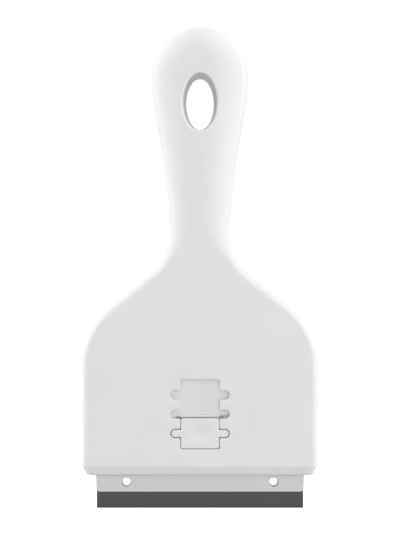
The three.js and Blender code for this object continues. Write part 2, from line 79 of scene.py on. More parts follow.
class Wiring:
    # shorthand for adding nodes to a tree and joining their sockets
    def __init__(self, tree):
        self.tree = tree

    def join(self, source, socket):
        self.tree.links.new(source, socket)

    def add(self, kind, inputs, output=0, **settings):
        # an input takes a value, a socket or a list of sockets, and one output comes back
        node = self.tree.nodes.new(kind)
        for key, value in settings.items():
            setattr(node, key, value)
        for key, value in inputs.items():
            if isinstance(value, bpy.types.NodeSocket):
                value = [value]
            if isinstance(value, list):
                for source in value:
                    self.join(source, node.inputs[key])
            else:
                node.inputs[key].default_value = value
        return node.outputs[output]

    def sums(self, how, a, b):
        return self.add("ShaderNodeMath", {0: a, 1: b}, operation=how)

    def share(self, whole, part):
        return self.sums("MULTIPLY", whole, part)

    def vector(self, x=0.0, y=0.0, z=0.0):
        return self.add("ShaderNodeCombineXYZ", {"X": x, "Y": y, "Z": z})

    # for finishes
    def noise(self, place, scale, detail, stretch=None):
        if stretch:
            place = self.add("ShaderNodeMapping", {"Vector": place, "Scale": stretch})
        return self.add("ShaderNodeTexNoise", {"Vector": place, "Scale": scale, "Detail": detail})

    def spread(self, source, low, high, fromLow=0.3, fromHigh=0.7):
        return self.add("ShaderNodeMapRange", {
            "Value": source, "From Min": fromLow, "From Max": fromHigh, "To Min": low, "To Max": high})

    def tint(self, source, first, second):
        # 6 and 7 are the Mix node's colour inputs, and 2 is its colour output
        first, second = (c if isinstance(c, bpy.types.NodeSocket) else (*c, 1) for c in (first, second))
        return self.add("ShaderNodeMix", {0: source, 6: first, 7: second}, 2, data_type="RGBA")

    def bump(self, source, strength, distance, before=None):
        inputs = {"Height": source, "Strength": strength, "Distance": distance}
        if before:
            inputs["Normal"] = before
        return self.add("ShaderNodeBump", inputs)

    def wornEdges(self):
        # faces on rims and ground edges carry this mark
        return self.add("ShaderNodeAttribute", {}, "Fac", attribute_name="rub")

    # for Geometry Nodes
    def move(self, geometry, z, scale=(1, 1, 1)):
        inputs = {"Geometry": geometry, "Translation": self.vector(z=z), "Scale": scale}
        return self.add("GeometryNodeTransform", inputs)

    def turn(self, geometry, angle):
        return self.add("GeometryNodeTransform", {"Geometry": geometry, "Rotation": (0, 0, angle)})

    def cut(self, how, meshes):
        return self.add("GeometryNodeMeshBoolean", meshes, operation=how, solver="EXACT")

    def close(self, geometry, finish):
        real = self.add("GeometryNodeRealizeInstances", {"Geometry": geometry})
        done = self.add("GeometryNodeSetMaterial", {"Geometry": real, "Material": finish})
        self.join(done, self.tree.nodes.new("NodeGroupOutput").inputs["Geometry"])


# finishes are procedural and read Object coordinates
plasticLook = {
    "ior": 1.48, "gloss": 0.25, "cloudScale": 55, "rippleScale": 140, "shade": 0.975, "leastRub": 0.3,
    "roughSpread": (-0.05, 0.06), "rippleBump": (0.1, 0.00008), "grainBump": (0.16, 0.00004),
}
steelLook = {
    "stainScale": 120, "dull": 0.93, "stain": (0, 0.45, 0.5, 0.75),
    "roughSpread": (-0.06, 0.08), "lineBump": (0.18, 0.00002),
}


def startFinish(name, colour, roughness, metallic=0.0):
    finish = bpy.data.materials.new(name)
    finish.use_nodes = True
    w = Wiring(finish.node_tree)
    shader = w.tree.nodes["Principled BSDF"].inputs
    shader["Base Color"].default_value = (*colour, 1)
    shader["Roughness"].default_value = roughness
    shader["Metallic"].default_value = metallic
    return finish, w, shader, w.add("ShaderNodeTexCoord", {}, "Object")


def mouldedPlastic(name, colour, worn, roughness, grain):
    look = plasticLook
    finish, w, shader, place = startFinish(name, colour, roughness)
    shader["IOR"].default_value = look["ior"]
    shader["Specular IOR Level"].default_value = look["gloss"]
    cloud = w.noise(place, look["cloudScale"], 3)
    fine = w.noise(place, grain, 3)
    ripple = w.noise(place, look["rippleScale"], 1)
    mottled = w.tint(w.spread(cloud, 0, 1), colour, [c * look["shade"] for c in colour])
    # rubbed edges go a little paler, in patches
    patch = w.share(w.wornEdges(), w.spread(cloud, look["leastRub"], 1))
    w.join(w.tint(patch, mottled, worn), shader["Base Color"])
    rough = [roughness + change for change in look["roughSpread"]]
    w.join(w.spread(fine, *rough), shader["Roughness"])
    soft = w.bump(ripple, *look["rippleBump"])
    w.join(w.bump(fine, *look["grainBump"], soft), shader["Normal"])
    return finish


def groundSteel(name, colour, bright, edge, roughness, metallic, lines):
    look = steelLook
    finish, w, shader, place = startFinish(name, colour, roughness, metallic)
    drawn = w.noise(place, lines["scale"], 4, lines["stretch"])
    stain = w.noise(place, look["stainScale"], 3)
    hairs = w.tint(w.spread(drawn, 0, 1), colour, bright)
    side = w.tint(w.spread(stain, *look["stain"]), hairs, [c * look["dull"] for c in colour])
    w.join(w.tint(w.wornEdges(), side, edge), shader["Base Color"])
    rough = [roughness + change for change in look["roughSpread"]]
    w.join(w.spread(drawn, *rough), shader["Roughness"])
    w.join(w.bump(drawn, *look["lineBump"]), shader["Normal"])
    return finish


def grey(level):
    return (level, level, level)


finishes = {
    "white_plastic": mouldedPlastic("whitePlastic", grey(0.83), grey(0.87), roughness=0.58, grain=1900),
    "grey_plastic": mouldedPlastic("greyPlastic", grey(0.682), grey(0.717), roughness=0.6, grain=1700),
    "dark_blade": groundSteel(
        "darkBlade", grey(0.038), grey(0.0455), grey(0.03), roughness=0.5, metallic=0.15,
        lines={"scale": 260, "stretch": (1, 1, 26)}),
    "stainless_screw": groundSteel(
        "stainlessScrew", grey(0.53), grey(0.62), grey(0.66), roughness=0.34, metallic=1.0,
        lines={"scale": 2600, "stretch": (1, 1, 1)}),
}
print("finishes ready:", ", ".join(finishes))

softAngle = 32  # edges that turn less are shaded smooth
arcStep = 11  # degrees between points round a corner


def makePiece(name, points, faces):
    mesh = bpy.data.meshes.new(name)
    mesh.from_pydata(toFrame(points).tolist(), [], faces)
    return finishMesh(bpy.data.objects.new(name, mesh))


def finishMesh(piece, smoothAngle=softAngle, turnOut=True):
    # doubles merged, stray edges gone, small holes closed and faces turned outward
    merge = 1e-7
    work = bmesh.new()
    work.from_mesh(piece.data)
    bmesh.ops.remove_doubles(work, verts=work.verts, dist=merge)
    bmesh.ops.dissolve_degenerate(work, edges=work.edges, dist=merge)
    bmesh.ops.delete(work, geom=[e for e in work.edges if not e.link_faces], context="EDGES")
    bmesh.ops.holes_fill(work, edges=[e for e in work.edges if len(e.link_faces) == 1], sides=4)
    if turnOut:
        bmesh.ops.recalc_face_normals(work, faces=work.faces)
    for face in work.faces:
        face.smooth = True
    work.to_mesh(piece.data)
    work.free()
    piece.data.set_sharp_from_angle(angle=math.radians(smoothAngle))
    if piece.name not in bpy.context.scene.collection.objects:
        bpy.context.scene.collection.objects.link(piece)
    return piece


def settle(piece, smoothAngle, turnOut=False):
    # the evaluated shape becomes the piece's own plain mesh
    graph = bpy.context.evaluated_depsgraph_get()
    graph.update()
    mesh = bpy.data.meshes.new_from_object(piece.evaluated_get(graph))
    piece.modifiers.clear()
    piece.data = mesh
    return finishMesh(piece, smoothAngle, turnOut)


def carve(piece, tool, how="DIFFERENCE", smoothAngle=softAngle):
    cut = piece.modifiers.new("carve", "BOOLEAN")
    cut.operation, cut.solver, cut.object = how, "EXACT", tool
    settle(piece, smoothAngle)
    bpy.data.objects.remove(tool)
    return piece


def joinTools(name, tools):
    points, faces = [], []
    for toolPoints, toolFaces in tools:
        base = len(points)
        points += [tuple(p) for p in toolPoints]
        faces += [tuple(base + i for i in face) for face in toolFaces]
    return makePiece(name, points, faces)


def bridge(n, rings, base=0):
    # four-sided faces between equal closed rings of n points
    faces = []
    for r in range(rings - 1):
        here, there = base + r * n, base + (r + 1) * n
        faces += [(here + i, here + (i + 1) % n, there + (i + 1) % n, there + i) for i in range(n)]
    return faces


def sleeve(rings):
    # closed tube through equal rings of points
    points = [tuple(p) for ring in rings for p in ring]
    n, last = len(rings[0]), (len(rings) - 1) * len(rings[0])
    faces = bridge(n, len(rings))
    faces += [tuple(range(n))[::-1], tuple(range(last, last + n))]
    return points, faces


def rod(x, z, radius, yLow, yHigh, sides):
    turn = np.linspace(0, 2 * math.pi, sides, endpoint=False)
    ring = lambda y: [(x + radius * math.cos(t), y, z + radius * math.sin(t)) for t in turn]
    return sleeve([ring(yLow), ring(yHigh)])


def block(xs, ys, zs):
    ring = lambda z: [(xs[0], ys[0], z), (xs[1], ys[0], z), (xs[1], ys[1], z), (xs[0], ys[1], z)]
    return sleeve([ring(zs[0]), ring(zs[1])])


def roundedLoop(corners, step=0.6):
    # corners are (u, v, radius), in order round the loop
    loop = []
    count = len(corners)
    for k in range(count):
        here = np.array(corners[k][:2], float)
        radius = corners[k][2]
        before = np.array(corners[k - 1][:2], float) - here
        after = np.array(corners[(k + 1) % count][:2], float) - here
        a, b = before / np.linalg.norm(before), after / np.linalg.norm(after)
        half = math.acos(np.clip(a @ b, -1, 1)) / 2
        reach = radius / math.tan(half)
        centre = here + (a + b) / np.linalg.norm(a + b) * (radius / math.sin(half))
        start, end = here + a * reach - centre, here + b * reach - centre
        sweep = math.atan2(start[0] * end[1] - start[1] * end[0], start @ end)
        steps = max(3, int(math.ceil(abs(sweep) / math.radians(arcStep))))
        for s in range(steps + 1):
            t = sweep * s / steps
            c, d = math.cos(t), math.sin(t)
            loop.append(centre + (start[0] * c - start[1] * d, start[0] * d + start[1] * c))
    dense = []
    for k in range(len(loop)):
        p, q = loop[k], loop[(k + 1) % len(loop)]
        parts = max(1, int(np.linalg.norm(q - p) / step))
        dense += [p + (q - p) * s / parts for s in range(parts)]
    return np.array(dense)


def mirroredLoop(right, step=0.6):
    # corners up the right side, and the same back down the left
    return roundedLoop(right + [(-u, v, radius) for u, v, radius in right[::-1]], step)


def steppedLoop(plate, heights, reach, rise, rootRound, endRound, step=0.6):
    # a rounded rectangle with a step out to both sides at each height
    half = plate["half"]
    right = [(half, plate["low"], plate["corner"])]
    for z in heights:
        for up, way in ((-rise, 1), (rise, -1)):
            right += [(half, z + up, rootRound), (reach, z + up, endRound)][::way]
    right.append((half, plate["high"], plate["corner"]))
    return mirroredLoop(right, step)


def grow(loop, distance):
    # loop runs anticlockwise, and a positive distance makes it larger
    ahead = np.roll(loop, -1, 0) - loop
    ahead /= np.linalg.norm(ahead, axis=1)[:, None]
    behind = np.roll(ahead, 1, 0)
    out = np.stack([ahead[:, 1] + behind[:, 1], -ahead[:, 0] - behind[:, 0]], 1)
    out /= np.maximum((out ** 2).sum(1), 1e-9)[:, None] / 2
    return loop + out * distance


def isInside(points, loop):
    inside = np.zeros(len(points), bool)
    for p, q in zip(loop, np.roll(loop, -1, 0)):
        if p[1] == q[1]:
            continue
        crosses = (p[1] > points[:, 1]) != (q[1] > points[:, 1])
        inside ^= crosses & (points[:, 0] < (q[0] - p[0]) * (points[:, 1] - p[1]) / (q[1] - p[1]) + p[0])
    return inside


def nearness(points, loop):
    # each point's distance to a closed loop
    best = np.full(len(points), 1e9)
    for p, q in zip(loop, np.roll(loop, -1, 0)):
        along = (q - p) / max((q - p) @ (q - p), 1e-12)
        t = np.clip((points - p) @ along, 0, 1)
        best = np.minimum(best, np.hypot(*(points - p - t[:, None] * (q - p)).T))
    return best


def fillArea(flat, loops):
    # triangles over the area inside the first loop and outside the others; loops hold indices into flat
    flat = np.asarray(flat, float)
    edges = [(loop[k - 1], loop[k]) for loop in loops for k in range(len(loop))]
    found = delaunay_2d_cdt([Vector(p) for p in flat], edges, [], 0, 1e-7)
    corners = [source[0] for source in found[3]]
    tris = np.array([[corners[k] for k in tri] for tri in found[2]])
    centres = flat[tris].mean(1)
    keep = isInside(centres, flat[loops[0]])
    for hole in loops[1:]:
        keep &= ~isInside(centres, flat[hole])
    return [tuple(int(k) for k in tri) for tri in tris[keep]]


def roundedPlate(loop, holes, low, high, lowEdge, highEdge, face=None, spacing=0.0):
    # a plate between two levels with rounded rims; returns points as (u, v, level)
    points, faces = [], []
    ends = {"low": [], "high": []}
    steps = np.radians(np.linspace(0, 90, 5))
    apron = 1.15  # a ring just inside each rim keeps the flat face's shading flat
    for outline, sign in [(loop, -1)] + [(hole, 1) for hole in holes]:
        rings = [(grow(outline, sign * lowEdge * apron), low)]
        for turns, edge, level, way in ((steps, lowEdge, low, 1), (steps[::-1], highEdge, high, -1)):
            for turn in turns:
                inset = grow(outline, sign * edge * (1 - math.sin(turn)))
                rings.append((inset, level + way * edge * (1 - math.cos(turn))))
        rings.append((grow(outline, sign * highEdge * apron), high))
        n, base = len(outline), len(points)
        for ring, level in rings:
            points += [(u, v, level) for u, v in ring]
        faces += bridge(n, len(rings), base)
        ends["low"].append(list(range(base, base + n)))
        ends["high"].append(list(range(base + (len(rings) - 1) * n, base + len(rings) * n)))
    for end, level in (("low", low), ("high", high)):
        wanted = [k for ring in ends[end] for k in ring]
        place = {k: i for i, k in enumerate(wanted)}
        flat = [points[k][:2] for k in wanted]
        if end == "low" and spacing:
            span = np.array(flat)
            us = np.arange(span[:, 0].min() + spacing / 2, span[:, 0].max(), spacing)
            vs = np.arange(span[:, 1].min() + spacing / 2, span[:, 1].max(), spacing)
            inner = np.array([(u, v) for v in vs for u in us])
            rimGap = spacing * 0.4  # kept free inside the rim
            keep = isInside(inner, grow(span[: len(loop)], -rimGap))
            for u, v in inner[keep]:
                wanted.append(len(points))
                flat.append((u, v))
                points.append((u, v, level + face(u, v)))
        loops = [[place[k] for k in ring] for ring in ends[end]]
        faces += [tuple(wanted[k] for k in tri) for tri in fillArea(flat, loops)]
    return points, faces


def facingPlate(name, side, *plate):
    # a rounded plate whose levels run along the depth
    flatPoints, faces = roundedPlate(*plate)
    return makePiece(name, [(u, -side * level, v) for u, v, level in flatPoints], faces)


# the body is two half shells that meet on a seam
body = {
    "mouthHeight": 16.4, "headHalf": 56.7, "headSide": 53.0,
    "shoulderRadius": 36.3, "shoulderSlope": math.radians(38), "neckRadius": 23.7, "neckHalf": 14.45,
    "gripLength": 75.6, "gripEaseLow": 34.0, "gripEaseHigh": 18.0, "bulgeHalf": 23.1, "domeHeight": 26.0,
    "mouthTaper": 2.1, "mouthTaperHeight": 4.7, "mouthRound": 1.6,
    "headHalfDepth": 7.5, "gripHalfDepth": 11.0, "headEdge": 3.4, "flatHalf": 1.5, "domeRoll": 13.0,
    "swellLow": 24.0, "swellHigh": 49.6, "edgeBlend": 13.0, "edgeFull": -6.0,
    "gripSideBand": 1.0, "leastSideBand": 0.4,
    "wall": 2.2, "endWall": 3.0, "seamGap": 0.1, "seamBreak": 0.25,
}
slope = body["shoulderSlope"]
shoulderHeight = body["mouthHeight"] + body["headSide"]
curveRadii = body["shoulderRadius"] + body["neckRadius"]
slopeAcross = body["headHalf"] - body["neckHalf"] - curveRadii * (1 - math.sin(slope))
slopeLength = slopeAcross / math.cos(slope)
neckHeight = shoulderHeight + curveRadii * math.cos(slope) + slopeLength * math.sin(slope)
bulgeHeight = neckHeight + body["gripLength"]
taperTop = body["mouthHeight"] + body["mouthTaperHeight"]


def halfDepth(z):
    rise = blendStep(z, neckHeight - body["swellLow"], neckHeight + body["swellHigh"])
    return body["headHalfDepth"] + (body["gripHalfDepth"] - body["headHalfDepth"]) * rise


def bezier(*ends):
    ends = [np.array(p, float) for p in ends]

    def at(t):
        row = ends
        while len(row) > 1:
            row = [a + (b - a) * t for a, b in zip(row, row[1:])]
        return row[0]
    return at


def arc(u, v, ru, rv, first, last):
    def at(t):
        turn = first + (last - first) * t
        return np.array([u + ru * math.cos(turn), v + rv * math.sin(turn)])
    return at


def sideStations():
    # places up the right side: x, z, outward normal, half depth, and the edge roll's two radii
    half, thin, bulge = body["headHalf"], body["neckHalf"], body["bulgeHalf"]
    corner = np.array([half - body["mouthTaper"], body["mouthHeight"]])
    top = np.array([half, taperTop])
    lean = (top - corner) / np.linalg.norm(top - corner)
    turn = math.pi / 2 - slope
    bend = body["shoulderRadius"]
    shoulder = arc(half - bend, shoulderHeight, bend, bend, 0, turn)
    bend = body["neckRadius"]
    neck = arc(thin + bend, neckHeight, bend, bend, math.pi + turn, math.pi)
    grip = bezier(
        (thin, neckHeight), (thin, neckHeight + body["gripEaseLow"]),
        (bulge, bulgeHeight - body["gripEaseHigh"]), (bulge, bulgeHeight))
    dome = arc(0, bulgeHeight, bulge, body["domeHeight"], 0, math.pi / 2)
    rounded = corner + lean * body["mouthRound"]
    stretches = [  # each curve with its number of steps
        (bezier(corner - (body["mouthRound"], 0), corner, rounded), 10), (bezier(rounded, top), 7),
        (bezier(top, (half, shoulderHeight)), 16), (shoulder, 30),
        (bezier(shoulder(1), neck(0)), 12), (neck, 26), (grip, 52), (dome, 46),
    ]
    stations = []
    for curve, steps in stretches:
        for step in range(1 if stations else 0, steps + 1):
            t = step / steps
            x, z = curve(t)
            along = curve(min(t + 1e-4, 1)) - curve(max(t - 1e-4, 0))
            along /= np.linalg.norm(along)
            under = z < taperTop - 1e-6
            normal = (1.0, 0.0) if under else (along[1], -along[0])
            depth = float(halfDepth(z)) - (half - x if under else 0.0)
            onGrip = float(blendStep(z, neckHeight - body["edgeBlend"], neckHeight - body["edgeFull"]))
            overDome = max(z - bulgeHeight, 0) / body["domeHeight"]
            wide = bulge - body["flatHalf"]
            gripRoll = wide + (body["domeRoll"] - wide) * overDome if overDome else x - body["flatHalf"]
            roll = body["headEdge"] + (gripRoll - body["headEdge"]) * onGrip
            deep = body["headEdge"] + (depth - body["gripSideBand"] - body["headEdge"]) * onGrip
            stations.append((x, z, *normal, depth, roll, min(deep, depth - body["leastSideBand"])))
    stations = np.array(stations)
    stations[-1, [0, 2, 3]] = 0, 0, 1
    atTaperTop = np.argmin(np.abs(stations[:, 1] - taperTop))
    stations[atTaperTop, 2:4] = 1, 0
    return stations, int(atTaperTop)


stations, taperStation = sideStations()
upper = stations[taperStation:]
coreHeights = upper[:, 1] - upper[:, 3] * upper[:, 5]


def faceDepth(xs, zs):
    # half depth of the outer surface at places above the taper, and how far each lies inside the edge roll
    xs, zs = np.abs(np.atleast_1d(xs).astype(float)), np.atleast_1d(zs).astype(float)
    depths = np.interp(zs, coreHeights, upper[:, 4])
    margins = np.full(len(xs), -99.0)
    slack = 0.3  # a place may lie this far outside the outline
    px, pz, nx, nz, depth, roll, deep = upper.T
    for k in range(len(xs)):
        across = (xs[k] - px) * -nz + (zs[k] - pz) * nx
        inward = (px - xs[k]) * nx + (pz - zs[k]) * nz
        hits = np.where((across[:-1] >= 0) & (across[1:] <= 0) & (inward[:-1] > -slack))[0]
        if not len(hits):
            if zs[k] > pz[0] + 1e-6:
                continue
            hits = np.array([0])
        i = hits[np.argmin(np.abs(inward[hits]))]
        t = across[i] / max(across[i] - across[i + 1], 1e-9)
        t = min(max(t, 0), 1)
        pick = lambda a: a[i] + (a[i + 1] - a[i]) * t
        inn, rl = pick(inward), pick(roll)
        margins[k] = inn - rl
        if inn < rl:
            cosTurn = 1 - max(inn, 0) / rl
            depths[k] = pick(depth) - pick(deep) * (1 - math.sqrt(max(1 - cosTurn * cosTurn, 0)))
    return depths, margins


hangHole = {
    "waistHalf": 6.7, "waistRise": 12.35, "draft": 1.4, "lip": 1.2, "apron": 0.3, "drop": 11.7,
    "wallShares": (0.66, 0.33),
}
holeHeight = bulgeHeight - hangHole["drop"]


def holeRing(extra, sides=96):
    turn = np.linspace(0, 2 * math.pi, sides, endpoint=False)
    u = (hangHole["waistHalf"] + extra) * np.cos(turn)
    v = holeHeight + (hangHole["waistRise"] + extra) * np.sin(turn)
    return np.stack([u, v], 1)


shellMesh = {  # how finely a shell is drawn, with turns in degrees
    "rimTurns": range(0, 64, 7), "crownTurns": (69, 74, 79, 84, 90), "footSteps": 27, "leastBand": 0.02,
    "gridPitch": 2.6, "gridHalf": 52.0, "gridLow": (0.35, 1.0), "gridFrom": 2.5, "gridTop": 12.0,
    "pocketApron": 1.2, "fallShares": (0.2, 0.4, 0.65, 1.0), "ringSlack": 0.9,
    "coreMargin": 0.7, "rimMargin": 0.3,
}


def halfBody(side, seam, pockets):
    m = shellMesh
    points, faces = [], []

    def put(x, depth, z):
        points.append((x, side * depth, z))
        return len(points) - 1

    def seenFlat(ids):
        return [(points[k][0], points[k][2]) for k in ids]

    def fill(ids, flat, loops):
        faces.extend(tuple(ids[k] for k in tri) for tri in fillArea(flat, loops))

    rimTurns, crownTurns = np.radians(m["rimTurns"]), np.radians(m["crownTurns"])
    crownAt = len(rimTurns) + 2

    def rowAt(station, hand, turns):
        x, z, nx, nz, depth, roll, deep = station
        at = lambda inn, y: put(hand * (x - nx * inn), y, z - nz * inn)
        row = [at(body["seamBreak"], seam)]
        row.append(at(0, min(seam + body["seamBreak"], depth - deep - m["leastBand"])))
        return row + [at(roll * (1 - math.cos(t)), depth - deep * (1 - math.sin(t))) for t in turns]

    def addStrips(lines):
        for a, b in zip(lines, lines[1:]):
            faces.extend((a[i], a[i + 1], b[i + 1], b[i]) for i in range(len(a) - 1))

    lowTurns = np.concatenate([rimTurns, crownTurns])
    rows = {1: [], -1: []}
    lowRows = []
    for k, station in enumerate(stations):
        if k <= taperStation:
            right, left = rowAt(station, 1, lowTurns), rowAt(station, -1, lowTurns)
            reach = points[right[-1]][0]
            xs = np.linspace(reach, -reach, m["footSteps"])[1:-1]
            lowRows.append(right + [put(x, station[4], station[1]) for x in xs] + left[::-1])
        else:
            right = rowAt(station, 1, rimTurns)
            left = right if k == len(stations) - 1 else rowAt(station, -1, rimTurns)
        rows[1].append(right[:crownAt])
        rows[-1].append(left[:crownAt])
    horseshoe = rows[1][taperStation:] + rows[-1][taperStation:-1][::-1]
    addStrips(lowRows)
    addStrips(horseshoe)

    def faceLevel(places):
        # the outer surface, which falls a little towards a pocket's rim
        level = faceDepth(*places.T)[0]
        for pocket in pockets:
            near = 1 - nearness(places, pocket["loop"]) / pocket["fallReach"]
            level = level - pocket["fall"] * np.clip(near, 0, 1) ** 2
        return level

    # sunk places and the hang hole leave rims in the face
    rims = []
    for pocket in pockets:
        loop, edge = pocket["loop"], pocket["edge"]
        level = faceLevel(grow(loop, edge))
        apron = grow(loop, edge * m["pocketApron"])
        rings = [[put(u, y, v) for (u, v), y in zip(apron, faceLevel(apron))]]
        for turn in np.radians(np.linspace(0, 90, 6)):
            ring = grow(loop, edge * (1 - math.sin(turn)))
            drop = edge * (1 - math.cos(turn))
            rings.append([put(u, y - drop, v) for (u, v), y in zip(ring, level)])
        rings.append([put(u, pocket["floor"], v) for u, v in loop])
        rims.append(rings)
        faces.append(tuple(rings[-1]))
    lip, draft = hangHole["lip"], hangHole["draft"]
    level = faceDepth(*holeRing(draft + lip).T)[0]
    apron = holeRing(draft + lip + hangHole["apron"])
    rings = [[put(u, y, v) for (u, v), y in zip(apron, faceDepth(*apron.T)[0])]]
    for turn in np.radians(np.linspace(0, 90, 8)):
        ring = holeRing(draft + lip * (1 - math.sin(turn)))
        rings.append([put(u, y - lip * (1 - math.cos(turn)), v) for (u, v), y in zip(ring, level)])
    for share in hangHole["wallShares"]:
        middle = seam + (body["gripHalfDepth"] - lip - seam) * share
        rings.append([put(u, middle, v) for u, v in holeRing(draft * share)])
    rings.append([put(u, seam + body["seamBreak"], v) for u, v in holeRing(0)])
    rings.append([put(u, seam, v) for u, v in holeRing(body["seamBreak"])])
    rims.append(rings)
    for rings in rims:
        for a, b in zip(rings, rings[1:]):
            faces += [(a[i - 1], a[i], b[i], b[i - 1]) for i in range(len(a))]

    # the crown: triangles over the whole face, raised to the surface's own depth
    ids = [row[-1] for row in horseshoe] + lowRows[-1][crownAt:-crownAt][::-1]
    flat = seenFlat(ids)
    loops = [list(range(len(ids)))]
    inner = []
    for x, z, nx, nz, _, roll, _ in upper[1:]:
        for t in crownTurns:
            inn = roll * (1 - math.cos(t))
            inner += [(hand * (x - nx * inn), z - nz * inn) for hand in ((1, -1) if x else (1,))]
    turned = len(inner)
    pitch, wide = m["gridPitch"], m["gridHalf"]
    heights = [taperTop + up for up in m["gridLow"]]
    heights += list(np.arange(taperTop + m["gridFrom"], bulgeHeight + m["gridTop"], pitch))
    for z in heights:
        inner += [(x, z) for x in np.arange(-wide, wide + 0.1, pitch)]
    for pocket in pockets:
        for share in m["fallShares"]:
            reach = pocket["fallReach"] * share
            ring = grow(pocket["loop"], reach)
            inner += [tuple(p) for p in ring[nearness(ring, pocket["loop"]) > reach * m["ringSlack"]]]
    inner = np.array(inner)
    keep = isInside(inner, np.array(flat))
    keep[turned:] &= faceDepth(*inner[turned:].T)[1] > m["coreMargin"]
    for rings in rims:
        rim = np.array(seenFlat(rings[0]))
        near = np.full(len(inner), 99.0)
        for p in rim:
            near = np.minimum(near, np.hypot(*(inner - p).T))
        keep &= ~isInside(inner, rim) & (near > m["rimMargin"])
        loops.append(list(range(len(flat), len(flat) + len(rim))))
        flat += [tuple(p) for p in rim]
        ids += rings[0]
    inner = inner[keep]
    order = np.lexsort((inner[:, 1].round(4), inner[:, 0].round(4)))
    for (u, v), y in zip(inner[order], faceLevel(inner[order])):
        ids.append(put(u, y, v))
        flat.append((u, v))
    fill(ids, flat, loops)

    # the flat seam, and the foot across the lower end
    seamEdge = [row[0] for row in rows[1]] + [row[0] for row in rows[-1][:-1]][::-1]
    ids = seamEdge + rims[-1][-1]
    fill(ids, seenFlat(ids), [list(range(len(seamEdge))), list(range(len(seamEdge), len(ids)))])
    foot = lowRows[0]
    fill(foot, [points[k][:2] for k in foot], [list(range(len(foot)))])
    return points, faces


def hollow(side):
    # the room inside one half, set in by the wall
    rows = {1: [], -1: []}
    wall = body["wall"]
    picked = [upper[0]] + list(upper[2::3])
    if picked[-1][1] != upper[-1][1]:
        picked.append(upper[-1])
    floor = body["mouthHeight"] + body["endWall"]
    for n, (x, z, nx, nz, depth, roll, deep) in enumerate(picked):
        z = floor if n == 0 else z
        roll, deep = max(roll - wall, 1), max(deep - wall, 1)
        for hand in (1, -1):
            at = lambda inn, y: (hand * (x - nx * (wall + inn)), side * y, z - nz * (wall + inn))
            row = [at(0, -1)]
            for t in np.radians(np.linspace(0, 90, 6)):
                row.append(at(roll * (1 - math.cos(t)), depth - wall - deep * (1 - math.sin(t))))
            rows[hand].append(row)
    arms = rows[1] + rows[-1][:-1][::-1]
    width, last = len(arms[0]), len(arms) - 1
    points = [p for row in arms for p in row]
    spot = lambda r, c: r * width + c
    faces = []
    for r in range(last):
        for c in range(width - 1):
            faces.append((spot(r, c), spot(r, c + 1), spot(r + 1, c + 1), spot(r + 1, c)))
    for r in range(last // 2):
        for c in (0, width - 1):
            faces.append((spot(r, c), spot(r + 1, c), spot(last - r - 1, c), spot(last - r, c)))
    faces += [(c, c + 1, spot(last, c + 1), spot(last, c)) for c in range(width - 1)]
    return points, faces


screwPlaces = [(-39.925, 55.0), (39.925, 55.0), (-24.9, 89.85), (24.9, 89.85), (0, 138.9), (0, 216.923)]
shellScrew = {
    "head": 6.0, "headHeight": 2.0, "shank": 3.0, "reach": 8.8, "seat": 4.45, "pitch": 1.1, "seed": 3,
    "gap": 0.2, "boss": 4.1, "frontDrill": (-4.6, 1.5), "rearDrill": (-1.5, 5.2),
    "pocketFloor": 4.4, "pocketEdge": 0.4, "pocketReach": 1.5,
}
mouth = {"half": 51.25, "halfDepth": 2.55, "heights": (15.0, 20.6)}
room = {  # what stays solid inside a shell, and how far the cutting forms pass the seam and the face
    "holeWall": (2.2, 3.5), "railHalves": (mouth["half"], 52.35), "railHeights": (17.0, 46.4),
    "pastSeam": 3.0, "pastFace": 14.0,
}
latchHeight = 36.975  # the lowest pair of notches, where the button and its spring sit at rest
window = {
    "half": 9.4, "low": 29.5, "high": 62.85, "corner": 0.9, "floor": 4.6,
    "notches": (latchHeight, 46.175, 55.375), "notchHalf": 14.15, "notchRise": 2.15, "notchRound": 2.05,
    "toothRound": 0.8, "edge": 0.3, "fall": 0.2, "fallReach": 2.1,
}


def windowLoop():
    w = window
    return steppedLoop(w, w["notches"], w["notchHalf"], w["notchRise"], w["toothRound"], w["notchRound"])


def circleLoop(x, z, radius, sides=48):
    turn = np.linspace(0, 2 * math.pi, sides, endpoint=False)
    return np.stack([x + radius * np.cos(turn), z + radius * np.sin(turn)], 1)


def bodyShell(name, side, seam, pockets, drill):
    shell = makePiece(name, *halfBody(side, seam, pockets))
    inside = makePiece(name + "Room", *hollow(side))
    near, far = -side * room["pastSeam"], side * room["pastFace"]
    oval = lambda y, extra: [(u, y, v) for u, v in holeRing(extra, sides=48)]
    seamWall, faceWall = room["holeWall"]
    keepers = [sleeve([oval(near, seamWall), oval(side * seam, seamWall), oval(far, faceWall)])]
    keepers += [rod(x, z, shellScrew["boss"], near, far, sides=32) for x, z in screwPlaces]
    for hand in (-1, 1):
        rail = sorted(hand * half for half in room["railHalves"])
        keepers.append(block(rail, sorted((near, far)), room["railHeights"]))
    carve(inside, joinTools(name + "Keepers", keepers))
    carve(shell, inside)
    half, deep = mouth["half"], mouth["halfDepth"]
    cuts = [block((-half, half), (-deep, deep), mouth["heights"])]
    radius = shellScrew["shank"] / 2 + shellScrew["gap"]
    cuts += [rod(x, z, radius, *drill, sides=24) for x, z in screwPlaces]
    carve(shell, joinTools(name + "Cuts", cuts))
    print(name, "has", len(shell.data.polygons), "faces")
    return shell


def screwPocket(x, z):
    s = shellScrew
    return {"loop": circleLoop(x, z, s["head"] / 2 + s["gap"]), "edge": s["pocketEdge"],
            "floor": s["pocketFloor"], "fall": 0.0, "fallReach": s["pocketReach"]}


frontShell = bodyShell("frontShell", -1, 0, [{**window, "loop": windowLoop()}], shellScrew["frontDrill"])
rearShell = bodyShell(
    "rearShell", 1, body["seamGap"], [screwPocket(x, z) for x, z in screwPlaces], shellScrew["rearDrill"])

